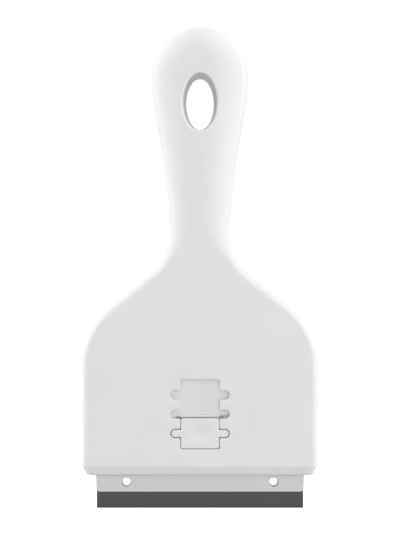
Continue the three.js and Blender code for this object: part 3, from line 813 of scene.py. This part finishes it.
# two jaws clamp the blade between them
jaw = {
    "half": 50.85, "draft": 0.8, "low": 8.15, "top": 28.0, "corner": 1.6, "topCorner": 0.4,
    "near": 0.35, "far": 2.15, "edge": 0.3, "innerEdge": 0.08,
    "holeRadius": 2.2, "rearHoleRadius": 1.9, "holeX": 35.65, "holeZ": 12.65,
    "screwRadius": 1.4, "screwXs": (-32, 0, 32), "screwZ": 23.85,
}


def jawPiece(name, side):
    low = jaw["half"] - jaw["draft"]
    corners = [(low, jaw["low"], jaw["corner"]), (jaw["half"], jaw["top"], jaw["topCorner"])]
    loop = mirroredLoop(corners, 300)  # so long a step leaves the straight sides whole
    radius = jaw["holeRadius"] if side < 0 else jaw["rearHoleRadius"]
    holes = [circleLoop(hand * jaw["holeX"], jaw["holeZ"], radius, sides=40) for hand in (-1, 1)]
    holes += [circleLoop(x, jaw["screwZ"], jaw["screwRadius"], sides=24) for x in jaw["screwXs"]]
    return facingPlate(name, side, loop, holes, -jaw["far"], -jaw["near"], jaw["edge"], jaw["innerEdge"])


frontJaw = jawPiece("frontJaw", -1)
rearJaw = jawPiece("rearJaw", 1)
print("jaws ready")


def newTree(name, sizes):
    # a Geometry Nodes tree with a named input for each size
    tree = bpy.data.node_groups.new(name, "GeometryNodeTree")
    tree.interface.new_socket("Geometry", in_out="INPUT", socket_type="NodeSocketGeometry")
    keys = {}
    for label, value in sizes.items():
        kind = "NodeSocketInt" if isinstance(value, int) else "NodeSocketFloat"
        if isinstance(value, bpy.types.Material):
            kind = "NodeSocketMaterial"
        socket = tree.interface.new_socket(label, in_out="INPUT", socket_type=kind)
        socket.default_value = value
        keys[label] = socket.identifier
    tree.interface.new_socket("Geometry", in_out="OUTPUT", socket_type="NodeSocketGeometry")
    return Wiring(tree), tree.nodes.new("NodeGroupInput").outputs, keys


def growTree(name, points, edges, tree, keys, sizes):
    mesh = bpy.data.meshes.new(name)
    mesh.from_pydata([tuple(p) for p in points], edges, [])
    piece = bpy.data.objects.new(name, mesh)
    modifier = piece.modifiers.new(tree.name, "NODES")
    modifier.node_group = tree
    for label, value in sizes.items():
        modifier[keys[label]] = value
    bpy.context.scene.collection.objects.link(piece)
    return settle(piece, smoothAngle=30, turnOut=True)


bladeSizes = {
    "width": 100.0, "thickness": 0.6, "top": 26.4, "bevel": 1.5, "land": 0.12, "holeGap": 0.2,
    "drillLength": 4.0, "stations": 41,
}


def bladeTree(sizes):
    # the blade's section swept along its width, with round holes cut through
    w, size, keys = newTree("sweptBlade", sizes)
    section = w.add("GeometryNodeMeshToCurve", {"Mesh": size["Geometry"]})
    start, end = (w.vector(w.share(size["Blade width"], half)) for half in (-0.5, 0.5))
    line = w.add("GeometryNodeCurvePrimitiveLine", {"Start": start, "End": end})
    path = w.add("GeometryNodeResampleCurve", {"Curve": line, "Count": bladeSizes["stations"]})
    strip = w.add("GeometryNodeCurveToMesh", {"Curve": path, "Profile Curve": section, "Fill Caps": True})

    def drill(xs, z, radius, sides):
        length = bladeSizes["drillLength"] * mm
        tools = []
        for x in xs:
            tube = w.add("GeometryNodeMeshCylinder", {"Vertices": sides, "Radius": radius, "Depth": length})
            tools.append(w.add("GeometryNodeTransform", {
                "Geometry": tube, "Translation": w.vector(x, 0.0, z), "Rotation": (math.pi / 2, 0, 0)}))
        return tools

    x = size["Open hole x"]
    tools = drill([x, w.share(x, -1.0)], size["Open hole z"], size["Open hole radius"], sides=40)
    x = size["Screw hole x"]
    tools += drill([x, w.share(x, -1.0), 0.0], size["Screw hole z"], size["Screw hole radius"], sides=24)
    w.close(w.cut("DIFFERENCE", {"Mesh 1": strip, "Mesh 2": tools[::-1]}), size["Finish"])
    return w.tree, keys


def bladePiece():
    b = bladeSizes
    half, land = b["thickness"] / 2, b["land"] / 2
    right = [(land, 0), (half, b["bevel"]), (half, b["top"])]
    section = [(-y, z) for y, z in right[::-1]] + right
    # the section is drawn flat for the sweep, with depth across and heights running down
    points = [(y * mm, (hookHeight - z) * mm, 0) for y, z in section]
    edges = [(k, (k + 1) % len(points)) for k in range(len(points))]
    sizes = {
        "Blade width": b["width"] * mm, "Open hole radius": (jaw["holeRadius"] + b["holeGap"]) * mm,
        "Screw hole radius": jaw["screwRadius"] * mm, "Open hole x": jaw["holeX"] * mm,
        "Open hole z": (jaw["holeZ"] - hookHeight) * mm, "Screw hole x": jaw["screwXs"][2] * mm,
        "Screw hole z": (jaw["screwZ"] - hookHeight) * mm, "Finish": finishes["dark_blade"]}
    return growTree("scraperBlade", points, edges, *bladeTree(sizes), sizes)


scraperBlade = bladePiece()
print("blade ready:", [round(v * 1000, 2) for v in scraperBlade.dimensions])

screwShape = {  # shares of the head's width and height, the shank and the reach
    "crown": 0.565, "crossTop": 0.36, "crossFoot": 0.12, "crossThin": 0.26, "crossDepth": 0.75,
    "crossRise": 0.72, "core": 0.41, "shaft": 0.84, "shaftDrop": 0.48, "tip": 0.14, "tipEnd": 0.06,
    "tipDrop": 0.99, "thread": 0.72, "threadDrop": 0.82,
}
jawScrew = {
    "head": 4.6, "headHeight": 1.3, "shank": 2.4, "reach": 7.6, "seat": 3.45, "pitch": 0.9, "seed": 5,
}
latchScrew = {
    "head": 4.0, "headHeight": 1.2, "shank": 2.0, "reach": 3.2, "seat": 3.05, "pitch": 0.8, "seed": 8,
    "height": latchHeight,
}


def screwTree(sizes):
    w, size, keys = newTree("crossHeadScrews", sizes)
    shape = screwShape
    head, tall, shank, reach = (size[label] for label in ("Head", "Head height", "Shank", "Reach"))
    core = w.share(shank, shape["core"])
    # pan head: a disc rounded off by a flattened ball, with a tapered cross sunk in it
    disc = w.add("GeometryNodeMeshCylinder", {"Vertices": 40, "Radius": w.share(head, 0.5), "Depth": tall})
    ball = w.add("GeometryNodeMeshUVSphere", {"Segments": 40, "Rings": 24, "Radius": 1.0})
    crown = w.share(head, shape["crown"])
    ball = w.move(ball, 0.0, w.vector(crown, crown, tall))
    pan = w.cut("INTERSECT", {"Mesh 2": [ball, w.move(disc, w.share(tall, 0.5))]})
    for turn in (0.0, math.pi / 2):
        wedge = w.add("GeometryNodeMeshCone", {
            "Vertices": 4, "Depth": w.share(tall, shape["crossDepth"]),
            "Radius Top": w.share(head, shape["crossTop"]),
            "Radius Bottom": w.share(head, shape["crossFoot"])})
        rise = w.share(tall, shape["crossRise"])
        arm = w.move(w.turn(wedge, math.pi / 4), rise, (1, shape["crossThin"], 1))
        pan = w.cut("DIFFERENCE", {"Mesh 1": pan, "Mesh 2": [w.turn(arm, turn)]})
    # shank with a wound thread and a pointed tip
    shaft = w.share(reach, shape["shaft"])
    stem = w.add("GeometryNodeMeshCylinder", {"Vertices": 24, "Radius": core, "Depth": shaft})
    stem = w.move(stem, w.share(shaft, -shape["shaftDrop"]))
    tip = w.add("GeometryNodeMeshCone", {
        "Vertices": 24, "Radius Top": core, "Radius Bottom": w.share(shank, shape["tipEnd"]),
        "Depth": w.share(reach, shape["tip"])})
    tip = w.move(tip, w.share(reach, -shape["tipDrop"]))
    run = w.share(reach, shape["thread"])
    spiral = w.add("GeometryNodeCurveSpiral", {
        "Resolution": 20, "Rotations": w.sums("DIVIDE", run, size["Thread pitch"]),
        "Start Radius": core, "End Radius": core, "Height": run})
    ridge = w.add("GeometryNodeCurvePrimitiveCircle", {
        "Resolution": 4, "Radius": w.sums("SUBTRACT", w.share(shank, 0.5), core)})
    thread = w.add("GeometryNodeCurveToMesh", {"Curve": spiral, "Profile Curve": ridge, "Fill Caps": True})
    thread = w.move(thread, w.share(reach, -shape["threadDrop"]))
    whole = w.add("GeometryNodeJoinGeometry", {"Geometry": [pan, stem, tip, thread]})
    # each screw is driven home at its own angle
    spin = w.tree.nodes.new("FunctionNodeRandomValue")
    spin.data_type = "FLOAT"
    w.join(size["Seed"], spin.inputs["Seed"])
    limits = [s for s in spin.inputs if s.type == "VALUE" and s.name in ("Min", "Max") and s.enabled]
    limits[0].default_value, limits[1].default_value = 0.0, math.pi
    turned = [s for s in spin.outputs if s.type == "VALUE" and s.enabled][0]
    screws = w.add("GeometryNodeInstanceOnPoints", {
        "Points": size["Geometry"], "Instance": whole, "Rotation": (-math.pi / 2, 0, 0)})
    screws = w.add("GeometryNodeRotateInstances", {"Instances": screws, "Rotation": w.vector(z=turned)})
    w.close(screws, size["Finish"])
    return w.tree, keys


def screwSizes(screw):
    return {
        "Head": screw["head"] * mm, "Head height": screw["headHeight"] * mm, "Shank": screw["shank"] * mm,
        "Reach": screw["reach"] * mm, "Thread pitch": screw["pitch"] * mm, "Seed": screw["seed"],
        "Finish": finishes["stainless_screw"]}


screwNodes, screwKeys = screwTree(screwSizes(shellScrew))


def screwSet(name, places, screw):
    points = toFrame([(x, screw["seat"], z) for x, z in places]).tolist()
    return growTree(name, points, [], screwNodes, screwKeys, screwSizes(screw))


shellScrews = screwSet("shellScrews", screwPlaces, shellScrew)
jawScrews = screwSet("jawScrews", [(x, jaw["screwZ"]) for x in jaw["screwXs"]], jawScrew)
latchScrewPiece = screwSet("latchScrew", [(0, latchScrew["height"])], latchScrew)
print("screws ready")

button = {
    "half": 9.1, "low": 29.8, "high": 44.15, "corner": 0.9, "middle": latchHeight,
    "front": -7.5, "back": -3.8, "edge": 0.25, "stemFront": -6.0, "stemEdges": (0.1, 0.25),
    "earHalf": 13.75, "earRise": 1.75, "earRound": 1.7, "earRoot": 0.3, "earBack": -4.9, "earBackEdge": 0.15,
    "wings": ((30.7, 34.375), (39.575, 43.25)), "wingHalf": 10.9, "wingFront": -5.0, "wingShort": 0.02,
    "wingEdges": (0.2, 0.2), "dish": 0.5, "dishMargin": 2.2, "dishFade": 1.5, "dishSpacing": 0.55,
}


def lockButtonPiece():
    # the pad with its ears and a dish for the thumb, a stem behind it, and wings that keep it in
    b = button
    loop = steppedLoop(b, [b["middle"]], b["earHalf"], b["earRise"], b["earRoot"], b["earRound"], 0.5)
    spanX, spanZ = b["half"] - b["dishMargin"], (b["high"] - b["low"]) / 2 - b["dishMargin"]

    def dish(x, z):
        away = (x / spanX) ** 2 + ((z - b["middle"]) / spanZ) ** 2
        return b["dish"] * max(0, 1 - away) ** b["dishFade"]

    def addBlock(name, half, heights, front, back, edges):
        outline = mirroredLoop([(half, z, b["corner"]) for z in heights], 1.0)
        carve(piece, facingPlate(name, -1, outline, [], front, back, *edges), "UNION")

    piece = facingPlate(
        "lockButton", -1, loop, [], b["front"], b["earBack"], b["edge"], b["earBackEdge"],
        dish, b["dishSpacing"])
    addBlock("buttonStem", b["half"], (b["low"], b["high"]), b["stemFront"], b["back"], b["stemEdges"])
    for heights in b["wings"]:
        back = b["back"] - b["wingShort"]
        addBlock("buttonWing", b["wingHalf"], heights, b["wingFront"], back, b["wingEdges"])
    return piece


lockButton = lockButtonPiece()

spring = {
    "low": 35.3, "high": 38.65, "middle": latchHeight, "edge": 0.25, "holeRadius": 1.2, "drill": (-3.0, 3.0),
    "anchor": 0.95, "top": -4.85, "press": 2.4, "endXs": (10.0, 13.6), "endRound": 0.3,
    # the right arm's two sides as x, depth and corner radius
    "armFront": [(3.6, -0.95, 1.2), (10.0, -2.95, 0.8)],
    "armBack": [(13.6, -2.4, 0.7), (11.6, -2.4, 1.5), (3.4, 0.15, 0.5), (3.0, 0.95, 0.4)],
}


def latchSpringPiece():
    s = spring
    end = [(x, s["top"], s["endRound"]) for x in s["endXs"]]
    loop = mirroredLoop(s["armFront"] + end + s["armBack"], 0.8)
    piece = makePiece("latchSpring", *roundedPlate(loop, [], s["low"], s["high"], s["edge"], s["edge"]))
    hole = rod(0, s["middle"], s["holeRadius"], *s["drill"], sides=24)
    return carve(piece, makePiece("springDrill", *hole))


latchSpring = latchSpringPiece()

carriage = {
    "lipHalf": 9.5, "lipFront": -4.8, "lipHeights": (44.6, 45.4), "stepFront": -3.9,
    "ribHalf": 9.4, "ribFront": -5.1, "ribHeights": (44.95, 45.5), "ribRoot": 1.0,
    "shelfFront": -3.85, "shelfHeights": (44.35, 45.2), "edge": 0.15, "flatArea": 3.0,
    "flatAngle": 1, "sharpAngle": 40, "smoothAngle": 15,
}


def carriagePiece():
    # the frame's own solid with its doubles merged, and its edges broken
    c = carriage
    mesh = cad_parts["blade_carriage"].data.copy()
    mesh.materials.clear()
    piece = bpy.data.objects.new("bladeCarriage", mesh)
    work = bmesh.new()
    work.from_mesh(mesh)
    bmesh.ops.remove_doubles(work, verts=work.verts, dist=2e-6)
    low, high = c["lipHeights"]
    for v in work.verts:  # the lip over the button is cut down to a step, and gets a finer rib on it
        x, y, z = v.co.x / mm, v.co.y / mm, v.co.z / mm + hookHeight
        if abs(x) < c["lipHalf"] and low < z < high and y < c["lipFront"]:
            v.co.y = c["stepFront"] * mm
    flat = math.radians(c["flatAngle"])
    bmesh.ops.dissolve_limit(work, angle_limit=flat, verts=work.verts, edges=work.edges)
    work.to_mesh(mesh)
    work.free()
    bpy.context.scene.collection.objects.link(piece)
    bevel = piece.modifiers.new("brokenEdges", "BEVEL")
    bevel.width, bevel.segments, bevel.limit_method = c["edge"] * mm, 2, "ANGLE"
    bevel.angle_limit = math.radians(c["sharpAngle"])
    settle(piece, c["smoothAngle"])
    for front, heights in ((c["shelfFront"], c["shelfHeights"]), (c["ribFront"], c["ribHeights"])):
        bar = block((-c["ribHalf"], c["ribHalf"]), (front, c["stepFront"] + c["ribRoot"]), heights)
        carve(piece, makePiece("carriageRib", *bar), "UNION", c["smoothAngle"])
    for face in piece.data.polygons:  # broad flats keep their own plain shading
        face.use_smooth = face.area < c["flatArea"] * mm * mm
    return piece


bladeCarriage = carriagePiece()
print("button, spring and carriage ready")

# each piece with its body, its slot and the nodes it stands for
riding = [
    (frontShell, "housing", "white_plastic", ["front_shell"]),
    (rearShell, "housing", "white_plastic", ["rear_shell"]),
    (shellScrews, "housing", "stainless_screw", [f"shell_screw_{k}" for k in range(1, 7)]),
    (bladeCarriage, "carriage", "white_plastic", ["blade_carriage"]),
    (frontJaw, "carriage", "grey_plastic", ["front_jaw"]),
    (rearJaw, "carriage", "grey_plastic", ["rear_jaw"]),
    (scraperBlade, "carriage", "dark_blade", ["scraper_blade"]),
    (jawScrews, "carriage", "stainless_screw", [f"jaw_screw_{k}" for k in range(1, 4)]),
    (latchScrewPiece, "carriage", "stainless_screw", ["latch_screw"]),
    (latchSpring, "carriage", "white_plastic", ["latch_spring"]),
    (lockButton, "button", "white_plastic", ["lock_button"]),
]
rimWear = {"widest": 1.5, "leastBend": 8}  # broader faces are flats, not edges


def markRims(piece):
    # a face that bends outward on two sides lies on a rounded edge, where hands and glass rub
    bend = math.radians(rimWear["leastBend"])
    work = bmesh.new()
    work.from_mesh(piece.data)
    rub = work.faces.layers.float.new("rub")
    for face in work.faces:
        bends = [e for e in face.edges if len(e.link_faces) == 2 and e.calc_face_angle_signed(0) > bend]
        width = 2 * face.calc_area() / face.calc_perimeter()
        face[rub] = 1.0 if len(bends) > 1 and width < rimWear["widest"] * mm else 0.0
    work.to_mesh(piece.data)
    work.free()


for piece, bodyName, slotName, nodes in riding:
    markRims(piece)
    piece.data.materials.clear()
    piece.data.materials.append(finishes[slotName])
    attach(piece, bodyName)
    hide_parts(*nodes)
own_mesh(latchSpring)
print("pieces riding:", len(riding))

studio = {
    "floorDrop": 55.0, "floorHalf": 4000.0, "paperShade": 0.3, "paperGlow": 0.12,
    "paperSeen": (0.68, 1.0), "paperReach": (0.29, 0.42), "ambient": 0.24,
    "lampDistance": 1.8, "lampSize": 0.8,  # metres
    "lamps": {  # where from, and strength
        "softFront": ((0.05, -1.0, 0.08), 15.2),
        "highFront": ((0.0, -0.8, 0.6), 2.0),
        "overhead": ((0.0, 0.0, 1.0), 11.0),
        "rightFront": ((0.97, -0.25, 0.15), 4.6),
        "rightSide": ((1.0, 0.0, 0.15), 13.0),
        "leftSide": ((-1.0, 0.06, 0.15), 15.0),
        "leftHigh": ((-0.6, 0.0, 0.8), 1.6),
        "leftBack": ((-0.94, 0.34, 0.1), 4.7),
        "backHigh": ((0.0, 0.8, 0.6), 6.0),
    },
}
camera = {"distance": 600.0, "height": 117.0, "lens": 83.56, "sensor": 36.0, "clip": (0.01, 50.0)}


def whiteToCamera(w, asLight, asSeen=1.0):
    # one level where the camera, a gloss or a see-through ray looks, and a lower one as light
    path = w.tree.nodes.new("ShaderNodeLightPath").outputs
    seen = w.sums("MAXIMUM", path["Is Camera Ray"], path["Is Glossy Ray"])
    seen = w.sums("MAXIMUM", seen, path["Is Transmission Ray"])
    return w.add("ShaderNodeMapRange", {"Value": seen, "To Min": asLight, "To Max": asSeen})


def makeWorld():
    world = bpy.data.worlds.new("studioWorld")
    world.use_nodes = True
    bpy.context.scene.world = world
    w = Wiring(world.node_tree)
    back = w.tree.nodes["Background"].inputs
    back["Color"].default_value = (1, 1, 1, 1)
    w.join(whiteToCamera(w, studio["ambient"]), back["Strength"])


def makeFloor():
    size, drop = studio["floorHalf"], -studio["floorDrop"]
    corners = [(-size, -size, drop), (size, -size, drop), (size, size, drop), (-size, size, drop)]
    mesh = bpy.data.meshes.new("studioFloor")
    mesh.from_pydata(toFrame(corners).tolist(), [], [(0, 1, 2, 3)])
    floor = bpy.data.objects.new("studioFloor", mesh)
    bpy.context.scene.collection.objects.link(floor)
    paper = bpy.data.materials.new("floorPaper")
    paper.use_nodes = True
    w = Wiring(paper.node_tree)
    w.tree.nodes.clear()
    diffuse = w.add("ShaderNodeBsdfDiffuse", {"Color": (*grey(studio["paperShade"]), 1)})
    # paper that takes the shadow close by, and runs out to white far off
    place = w.add("ShaderNodeTexCoord", {}, "Object")
    away = w.add("ShaderNodeVectorMath", {0: place}, "Value", operation="LENGTH")
    white = w.spread(away, *studio["paperSeen"], *studio["paperReach"])
    glow = w.add("ShaderNodeEmission", {"Strength": whiteToCamera(w, studio["paperGlow"], white)})
    both = w.add("ShaderNodeAddShader", {0: diffuse, 1: glow})
    w.join(both, w.tree.nodes.new("ShaderNodeOutputMaterial").inputs["Surface"])
    mesh.materials.append(paper)
    floor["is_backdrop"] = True


def makeLamps():
    aim = Vector(toFrame((0, 0, camera["height"])))
    for name, (way, power) in studio["lamps"].items():
        lamp = bpy.data.lights.new(name, "AREA")
        lamp.shape, lamp.size, lamp.energy = "DISK", studio["lampSize"], power
        holder = bpy.data.objects.new(name, lamp)
        way = Vector(way).normalized()
        holder.location = aim + way * studio["lampDistance"]
        holder.rotation_euler = way.to_track_quat("Z", "Y").to_euler()
        holder.visible_camera = False
        bpy.context.scene.collection.objects.link(holder)


def makeCamera():
    lens = bpy.data.cameras.new("photoCamera")
    lens.sensor_fit, lens.sensor_height, lens.lens = "VERTICAL", camera["sensor"], camera["lens"]
    lens.clip_start, lens.clip_end = camera["clip"]
    holder = bpy.data.objects.new("photoCamera", lens)
    holder.location = Vector(toFrame((0, -camera["distance"], camera["height"])))
    holder.rotation_euler = (math.pi / 2, 0, 0)
    bpy.context.scene.collection.objects.link(holder)
    bpy.context.scene.camera = holder


makeWorld()
makeFloor()
makeLamps()
makeCamera()
print("studio ready")

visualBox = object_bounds()
({name: [[float(v) for v in corner] for corner in box]
           for name, box in (("cad", cadBox), ("visual", visualBox))})
